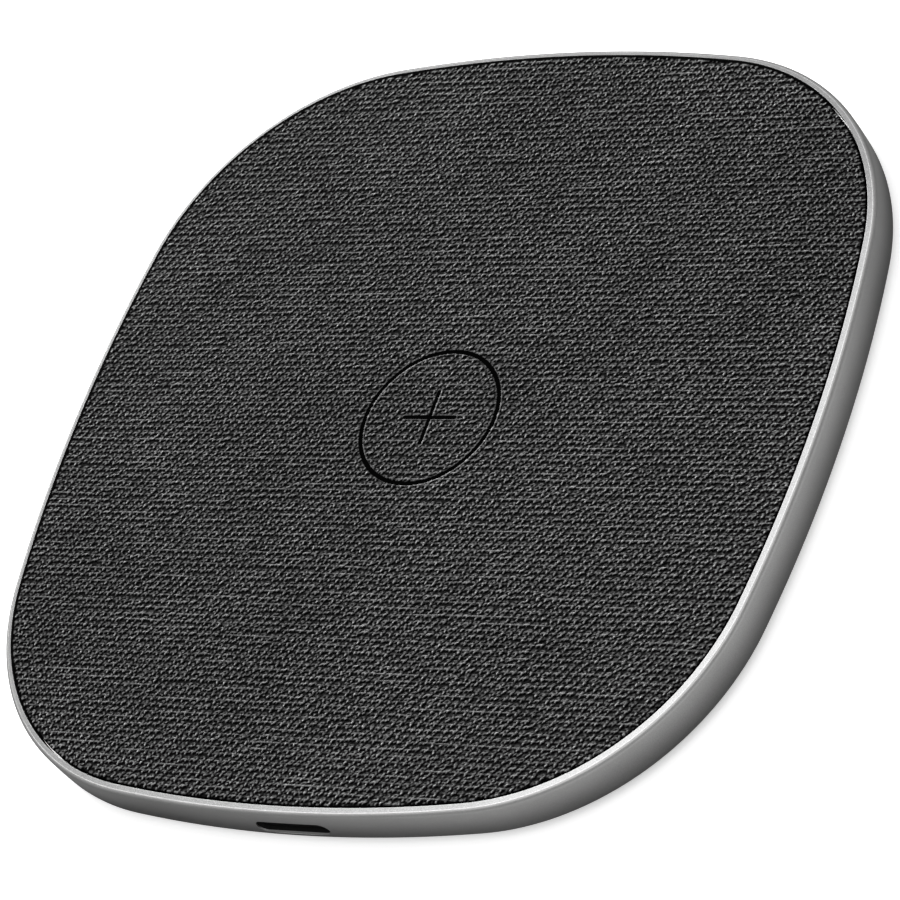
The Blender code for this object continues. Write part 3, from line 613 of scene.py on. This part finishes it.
def stitch_layer(x, y, shift, size, seed):
    """Heights and pits of one lattice of stitches; `shift` is in rows and in stitches."""
    table = np.random.default_rng(seed).random((CHANCES, CHANCES, 9))
    height, pits = np.zeros_like(x), np.zeros_like(x)
    nearest_row = np.round(y / ROW - shift).astype(int)
    for row_step in (-1, 0, 1):
        row = nearest_row + row_step
        row_y = (row + shift) * ROW + (row_wander(row, x) - 0.5) * ROW_WANDER
        start = (row % 2 + shift) * STITCH / 2
        nearest = np.round((x - start) / STITCH).astype(int)
        for step in (-1, 0, 1):
            column = nearest + step
            chance = table[(row + CHANCES // 2) % CHANCES, (column + CHANCES // 2) % CHANCES]
            middle_x = start + (column + (chance[..., 0] - 0.5) * 0.14) * STITCH
            middle_y = row_y + ((chance[..., 1] - 0.5) * 0.12 - 0.14) * ROW
            turn = np.radians(10 + (chance[..., 2] - 0.5) * 44)
            dx, dy = (x - middle_x) / (size * ROW), (y - middle_y) / (size * ROW)
            u = (dx * np.cos(turn) + dy * np.sin(turn)) / 1.3
            v = dy * np.cos(turn) - dx * np.sin(turn)
            stitch, pit = hook(u, v, chance)
            height = np.maximum(height, stitch)
            pits = np.maximum(pits, pit)
    return height, pits


def knit_height(x, y):
    """Height of the knit at each place, and how much of it is a thick stretch of yarn. Each
    place takes the highest of two layers of stitches and a thin thread along the row."""
    under, _ = stitch_layer(x, y, 0.5, 0.8, 12)
    over, pits = stitch_layer(x, y, 0.0, 1.0, 11)
    height = np.maximum(UNDER_SHARE * under, over) * (1 - PIT_SHARE * pits)
    streak = np.zeros_like(x)
    nearest_row = np.round(y / ROW).astype(int)
    for row_step in (-1, 0, 1):
        row = nearest_row + row_step
        row_y = row * ROW + (row_wander(row, x) - 0.5) * ROW_WANDER
        slub = np.clip((row_slubs(row, x) - SLUB_START) / 0.3, 0, 1)
        thread = dome(y - row_y - 0.24 * ROW, 0.15 * ROW) * (0.18 + 0.36 * slub)
        height = np.maximum(height, thread)
        streak = np.maximum(streak, thread * slub)
    return height, streak


def relief(x, y):
    """Height with the mark pressed in, the streaks, and how far each place is pressed."""
    height, streak = knit_height(x, y)
    pressed, distance = groove_share(x, y)
    shoulder = np.clip(1 - (distance - GROOVE_WIDTH / 2) / SHOULDER_WIDTH, 0, 1)
    height = height + (SHOULDER_LEVEL - height) * 0.6 * shoulder
    height = height * (1 - pressed) + PRESSED_LEVEL * pressed
    return height, streak * (1 - pressed), pressed


def groove_share(x, y):
    """How far each place is pressed, from 1 in the ring and cross to 0 outside them, and
    its distance to the middle of the nearest groove."""
    to_ring = np.abs(np.hypot(x, y) - RING_RADIUS)
    beyond_x = np.maximum(np.abs(x) - CROSS_ARM, 0)
    beyond_y = np.maximum(np.abs(y) - CROSS_ARM, 0)
    to_cross = np.minimum(np.hypot(beyond_x, y), np.hypot(x, beyond_y))
    distance = np.minimum(to_ring, to_cross)
    share = np.clip((GROOVE_WIDTH / 2 + GROOVE_WALL / 2 - distance) / GROOVE_WALL, 0, 1)
    return share * share * (3 - 2 * share), distance


# ---- fabric -------------------------------------------------------------------------
def filled_grid(inset, count):
    """A grid of points that fills the outline; its corners lie in the middles of the
    corner arcs. It is finer towards the centre, where the pressed ring is."""
    even = np.linspace(-1, 1, count)
    share = CENTRE_SPACING * even + (1 - CENTRE_SPACING) * even**3
    right, _ = side_points(share, inset)
    top = quarter_turns(right, 1)[::-1]
    left = quarter_turns(right, 2)[::-1]
    bottom = quarter_turns(right, 3)
    u = ((share + 1) / 2)[None, :, None]
    v = ((share + 1) / 2)[:, None, None]
    corners = (
        (1 - u) * (1 - v) * bottom[0]
        + u * (1 - v) * bottom[-1]
        + (1 - u) * v * top[0]
        + u * v * top[-1]
    )
    across = (1 - v) * bottom[None] + v * top[None]
    upwards = (1 - u) * left[:, None] + u * right[:, None]
    return across + upwards - corners


def border(grid):
    """The grid's outermost values as one loop, anticlockwise from the first corner."""
    return np.concatenate([grid[0, :-1], grid[:-1, -1], grid[-1, :0:-1], grid[:0:-1, 0]])


def woven_surface():
    """The knit's top surface as a grid of points, and the weave values its material reads: height,
    the sides' painted light and shade, streak, and how little it is pressed."""
    flat = filled_grid(FABRIC_INSET + EDGE_ROLL, GRID)
    x, y = flat[..., 0], flat[..., 1]
    height, streak, pressed = relief(x, y)
    # Painted light and shade: a place higher than its neighbour towards the lit side gets a painted
    # highlight, a lower one painted shade.
    behind, _, _ = relief(x + PAINTED_LIGHT_SIDE[0] * SHADE_REACH, y + PAINTED_LIGHT_SIDE[1] * SHADE_REACH)
    behind = np.maximum(behind, SHADE_LOWEST)
    shade_side = np.clip(0.5 + 0.5 * (height - behind), 0, 1)
    height = np.maximum(height, 0)
    z = FABRIC_TOP - RELIEF * (1 - height) * (1 - pressed) - GROOVE_DEPTH * pressed
    return np.stack([x, y, z], -1), np.stack([height, shade_side, streak, 1 - pressed], -1)


def make_fabric():
    """The knitted top: its woven surface, a rolled edge and a flat back."""
    surface, weave = woven_surface()
    edge, edge_weave = border(surface), border(weave)
    out = outline_normals(edge[:, :2])
    index = np.arange(GRID * GRID).reshape(GRID, GRID)
    previous = border(index)
    vertices, colours = [surface.reshape(-1, 3)], [weave.reshape(-1, 4)]
    faces = [grid_faces(GRID, GRID)]
    level = FABRIC_TOP - RELIEF / 2
    # Down the rolled edge the weave values fade to nothing, which paints the edge in shade, black
    # at its foot.
    for angle in np.radians((22, 45, 67, 90)):
        fade = math.cos(angle)
        ring_z = level + (edge[:, 2] - level) * fade - EDGE_ROLL * (1 - fade)
        ring = np.column_stack([edge[:, :2] + out * EDGE_ROLL * math.sin(angle), ring_z])
        previous = add_ring(vertices, faces, previous, ring)
        colours.append(edge_weave * fade)
    foot_z = np.full(len(edge), FABRIC_LOW.z)
    skirt = np.column_stack([edge[:, :2] + out * EDGE_ROLL, foot_z])
    previous = add_ring(vertices, faces, previous, skirt)
    colours.append(edge_weave * 0)

    all_faces = np.concatenate(faces).tolist()
    all_faces.append(previous[::-1].tolist())
    fabric = mesh_object("knit_top", np.concatenate(vertices).tolist(), all_faces)
    layer = fabric.data.color_attributes.new("weave", "FLOAT_COLOR", "POINT")
    layer.data.foreach_set("color", np.concatenate(colours).astype(np.float32).ravel())
    shade(fabric, 80)
    fabric.data.materials.append(knit())
    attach(fabric, "root")
    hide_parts("top_fabric")


def outline_normals(points):
    """The outline's outward direction at each point."""
    side_centre, corner_centre, joint = outline_arcs()
    near = np.abs(points)
    swap = near[:, 1] > near[:, 0]
    near = np.where(swap[:, None], near[:, ::-1], near)
    on_side = np.arctan2(near[:, 1], near[:, 0] - side_centre) <= joint
    centre = np.where(on_side[:, None], [[side_centre, 0.0]], [[corner_centre, corner_centre]])
    out = near - centre
    out = out / np.linalg.norm(out, axis=1, keepdims=True)
    out = np.where(swap[:, None], out[:, ::-1], out)
    return out * np.sign(points)


def add_ring(vertices, faces, previous, ring):
    """Adds one loop of vertices, joins it to the loop before, and returns its indices."""
    start = sum(len(block) for block in vertices)
    vertices.append(ring)
    current = start + np.arange(len(ring))
    faces.append(np.stack([previous, current, np.roll(current, -1), np.roll(previous, -1)], -1))
    return current


# ---- frame --------------------------------------------------------------------------
def arc(centre, radii, start, end, steps):
    """Points along part of an ellipse, as (inset, height). Angles are in degrees from
    straight outwards, rising towards straight up."""
    points = []
    for i in range(steps + 1):
        angle = math.radians(start + (end - start) * i / steps)
        inset = centre[0] - radii[0] * math.cos(angle)
        points.append((inset, centre[1] + radii[1] * math.sin(angle)))
    return points


def frame_section():
    """The frame's section: outwards over the bevel, down the barrelled side, round the foot
    and back up the inside, past the ledge that carries the top plate."""
    widest = TOP - 0.75 * MM
    foot_start = TOP - 4.1 * MM
    bottom = FRAME_LOW.z
    shoulder = (RIM_INSET - BEVEL_WIDTH, TOP - BEVEL_DROP)
    lip = 0.03 * MM
    bevel = [
        (RIM_INSET, TOP - lip),
        (RIM_INSET - 0.3 * lip, TOP - 0.3 * lip),
        (RIM_INSET - lip, TOP - 0.4 * lip),
    ]
    bevel += [(RIM_INSET - BEVEL_WIDTH * s, TOP - BEVEL_DROP * s) for s in (0.15, 0.5, 0.85, 0.96)]
    section = list(bevel)
    section += arc((shoulder[0], widest), (shoulder[0], shoulder[1] - widest), 86, 0, 12)
    barrel = 0.1 * MM
    for i in range(1, 9):
        share = i / 8
        section.append((barrel * share**2, widest + (foot_start - widest) * share))
    round_inset = 0.62 * MM
    foot_radii = (round_inset - barrel, foot_start - bottom)
    section += arc((round_inset, foot_start), foot_radii, -6, -90, 14)
    section += [
        (WALL_INSET, bottom),
        (WALL_INSET, LEDGE_BOTTOM),
        (LEDGE_INSET, LEDGE_BOTTOM),
        (LEDGE_INSET, LEDGE_TOP),
        (RIM_INSET + 0.03 * MM, LEDGE_TOP),
        (RIM_INSET + 0.02 * MM, TOP - 0.3 * MM),
    ]
    return section


def paint_rim(body):
    """Bright metal on the bevel, black painted shade on the wall that faces the fabric."""
    for polygon in body.data.polygons:
        z = polygon.center.z
        on_bevel = abs(polygon.normal.z) > 0.8 and z > TOP - BEVEL_DROP * 1.02
        polygon.material_index = BRIGHT if on_bevel else BLASTED
        inward = polygon.normal.x * polygon.center.x + polygon.normal.y * polygon.center.y < 0
        if inward and z > LEDGE_TOP and abs(polygon.normal.z) < 0.6:
            polygon.material_index = PAINTED_SHADE


def paint_port(body):
    """Bright metal on the port's chamfer, black painted shade behind it."""
    front = FRAME_LOW.y
    width, height = PORT_SLOT
    for polygon in body.data.polygons:
        x, y, z = polygon.center
        at_mouth = front + 0.3 * PORT_BEVEL < y < front + 1.02 * PORT_BEVEL
        if at_mouth and abs(x) < width and abs(polygon.normal.y) < 0.95:
            polygon.material_index = BRIGHT if abs(z - PORT_Z) < height else BLASTED
        in_slot = abs(x) < width / 2 and abs(z - PORT_Z) < height / 2
        if in_slot and front + LIP_DEPTH < y < front + WALL_INSET:
            polygon.material_index = PAINTED_SHADE


def cut_port(body):
    """Cuts the chamfered slot with its lip, and the pocket behind it for the connector."""
    front = FRAME_LOW.y
    width, height = PORT_SLOT
    lip = LIP_RISE / 2
    slot = [
        port_ring((width + 4 * PORT_BEVEL, height + 4 * PORT_BEVEL), front - PORT_BEVEL),
        port_ring((width, height), front + PORT_BEVEL),
        port_ring((width, height - LIP_RISE), front + LIP_DEPTH, lip),
        port_ring((width, height - LIP_RISE), front + 3 * MM, lip),
    ]
    cut(body, loft("slot_cutter", slot))
    pocket_size = (10.0 * MM, SHELL_HIGH.z - SHELL_LOW.z + 0.24 * MM)
    pocket = [port_ring(pocket_size, front + POCKET_INSET), port_ring(pocket_size, front + 6 * MM)]
    cut(body, loft("pocket_cutter", pocket))


def make_frame():
    body = sweep("metal_frame", frame_section(), 96)
    # painted shade: black and without shine, for the rim's inner wall and deep in the port slot
    painted_shade = moulded("painted_shade_black", (0.006, 0.006, 0.006), 0.8, 0.15 * MM, 0.01 * MM, 0.0)
    for material in (blasted_metal(), cut_metal(), painted_shade):
        body.data.materials.append(material)
    paint_rim(body)
    cut_port(body)
    paint_port(body)
    shade(body, 28)
    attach(body, "root")
    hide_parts("frame")


# ---- foot and port ------------------------------------------------------------------
def make_foot():
    """The silicone ring: soft shoulders and a shallow moulded channel along its middle."""
    outer = FRAME_HIGH.x - FOOT_HIGH.x
    inner = outer + 4.8 * MM
    low, high = FOOT_LOW.z, FOOT_HIGH.z
    round_off = 0.22 * MM
    middle = (outer + inner) / 2
    section = [(outer, high)]
    section += arc((outer + round_off, low + round_off), (round_off, round_off), 0, -90, 6)
    section += [(middle - 0.9 * MM, low), (middle - 0.75 * MM, low + 0.06 * MM)]
    section += [(middle + 0.75 * MM, low + 0.06 * MM), (middle + 0.9 * MM, low)]
    section += arc((inner - round_off, low + round_off), (round_off, round_off), 270, 180, 6)
    section.append((inner, high))
    foot = sweep("silicone_foot", section, 72)
    shade(foot, 50)
    silicone = moulded("silicone", (0.030, 0.030, 0.032), 0.72, 0.12 * MM, 0.010 * MM)
    foot.data.materials.append(silicone)
    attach(foot, "root")
    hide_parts("foot_ring")


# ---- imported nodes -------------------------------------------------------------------
def finish_nodes():
    """Gives each node that is still shown its own look and, where it shows, soft edges."""
    plastic = moulded("black_plastic", (0.018, 0.018, 0.020), 0.5, 0.18 * MM, 0.015 * MM)
    composite = moulded("glass_filled_plate", (0.035, 0.035, 0.034), 0.65, 0.35 * MM, 0.010 * MM)
    double_sided = tape("double_sided_tape", (0.55, 0.55, 0.52), 0.5)
    steel = plated_steel()
    epoxy = chip_epoxy()
    capacitor = chip_capacitor()
    ferrite = pressed_powder("ferrite", (0.030, 0.029, 0.028), (0.12, 0.12, 0.12), 0.5 * MM)
    iron_powder = pressed_powder("iron_powder", (0.05, 0.05, 0.052), (0.22, 0.22, 0.22), 0.3 * MM)
    looks = {
        "top_plate": composite,
        "top_plate_tape": double_sided,
        "bottom_cover": plastic,
        "charging_coil": copper_wire(),
        "coil_tape": tape("amber_film", (0.52, 0.26, 0.05), 0.25),
        "ferrite_sheet": ferrite,
        "foam_pad": open_foam(),
        "main_board": circuit_board(),
        "controller_chip": epoxy,
        "power_inductor": iron_powder,
        "crystal": steel,
        "thermistor": bead_and_leads(),
        "port_bezel": plastic,
        "usb_c_shell": steel,
        "usb_c_tongue": contact_tongue(),
    }
    looks.update({f"mosfet_{i}": epoxy for i in (1, 2)})
    looks.update({f"resonant_capacitor_{i}": capacitor for i in (1, 2, 3, 4)})
    looks.update({f"input_capacitor_{i}": capacitor for i in (1, 2)})
    looks.update({f"cover_screw_{i}": steel for i in (1, 2, 3, 4)})
    looks.update({f"board_screw_{i}": steel for i in (1, 2, 3)})
    for name, material in looks.items():
        dress(name, material)
    for name in ("bottom_cover", "port_bezel", "usb_c_shell"):
        round_edges(NODES[name], 0.05 * MM)


def dress(node, material):
    NODES[node].data.materials.clear()
    NODES[node].data.materials.append(material)


# ---- table, light and camera --------------------------------------------------------
# The camera stands off the near right corner and is rolled, as if held by hand.
CAMERA_FROM_TOP = Vector((0.32028, -0.24865, 0.37912))
CAMERA_TARGET = Vector((0.00427, -0.00411, 0.0))
CAMERA_ROLL = 41.14
CAMERA_LENS = 211.44
TABLE_GAP = 0.01 * MM  # keeps the foot's face clear of the table's


def make_camera():
    centre = Vector((0.0, 0.0, TOP))
    data = bpy.data.cameras.new("camera")
    data.lens = CAMERA_LENS
    data.sensor_width = 36.0
    data.clip_start = 0.01
    camera = bpy.data.objects.new("camera", data)
    camera.location = centre + CAMERA_FROM_TOP
    level = (CAMERA_TARGET - CAMERA_FROM_TOP).to_track_quat("-Z", "Y")
    camera.rotation_mode = "QUATERNION"
    camera.rotation_quaternion = level @ Quaternion((0, 0, 1), math.radians(-CAMERA_ROLL))
    bpy.context.scene.collection.objects.link(camera)
    bpy.context.scene.camera = camera


def area_light(name, location, size, watts):
    """A round soft light that faces the middle of the pad."""
    data = bpy.data.lights.new(name, "AREA")
    data.shape = "DISK"
    data.size = size
    data.energy = watts
    light = bpy.data.objects.new(name, data)
    light.location = location
    aim = Vector((0, 0, 0)) - Vector(location)
    light.rotation_euler = aim.to_track_quat("-Z", "Y").to_euler()
    bpy.context.scene.collection.objects.link(light)


def make_table():
    """A pale table that isn't lit like a real one. It is darker, and graded across the pad,
    where the metal reflects it, and it glows a little where the camera sees it."""
    reach, z = 3, -TABLE_GAP
    corners = [(-reach, -reach, z), (reach, -reach, z), (reach, reach, z), (-reach, reach, z)]
    floor = mesh_object("table", corners, [(0, 1, 2, 3)])
    look = Look("pale_table", (0.92, 0.92, 0.92), 0.6)
    mottle = look.noise(30 * MM, 4.0)
    white = look.mix(mottle, (0.86, 0.86, 0.86), (0.90, 0.90, 0.90))
    ray = look.node("ShaderNodeLightPath", {})
    side = look.span(look.axis(0), -0.04, 0.06)
    back = look.span(look.axis(1), 0.0, 0.05, 1.0, 0.0)
    near = look.math("MULTIPLY", side, back)
    reflected = look.mix(near, (0.16, 0.16, 0.16), (0.60, 0.60, 0.60))
    look.set("Base Color", look.mix(ray.outputs["Is Glossy Ray"], white, reflected))
    look.set("Specular IOR Level", 0.2)
    look.set("Emission Color", (1.0, 1.0, 1.0, 1.0))
    look.set("Emission Strength", look.math("MULTIPLY", ray.outputs["Is Camera Ray"], 0.5))
    floor.data.materials.append(look.material)


def make_world():
    """A white surround, twice as bright where the camera sees it, so that the far edge of
    the table doesn't show."""
    world = bpy.data.worlds.new("studio")
    bpy.context.scene.world = world
    world.use_nodes = True
    tree = world.node_tree
    background = tree.nodes["Background"]
    background.inputs["Color"].default_value = (1, 1, 1, 1)
    seen = tree.nodes.new("ShaderNodeLightPath").outputs["Is Camera Ray"]
    strength = tree.nodes.new("ShaderNodeMath")
    strength.operation = "MULTIPLY_ADD"
    tree.links.new(seen, strength.inputs[0])
    extra_when_seen, everywhere = 0.5, 0.5
    strength.inputs[1].default_value = extra_when_seen
    strength.inputs[2].default_value = everywhere
    tree.links.new(strength.outputs[0], background.inputs["Strength"])


def make_stage():
    """The table, the surround, a small key light, a wide overhead light and the camera."""
    make_table()
    make_world()
    area_light("key", (-0.52, 0.38, 0.65), size=0.35, watts=8.0)
    area_light("overhead", (0.0, 0.0, 1.2), size=2.0, watts=12.0)
    make_camera()
    bpy.context.scene.view_settings.view_transform = "Standard"


def main():
    make_fabric()
    make_frame()
    make_foot()
    finish_nodes()
    make_stage()


main()
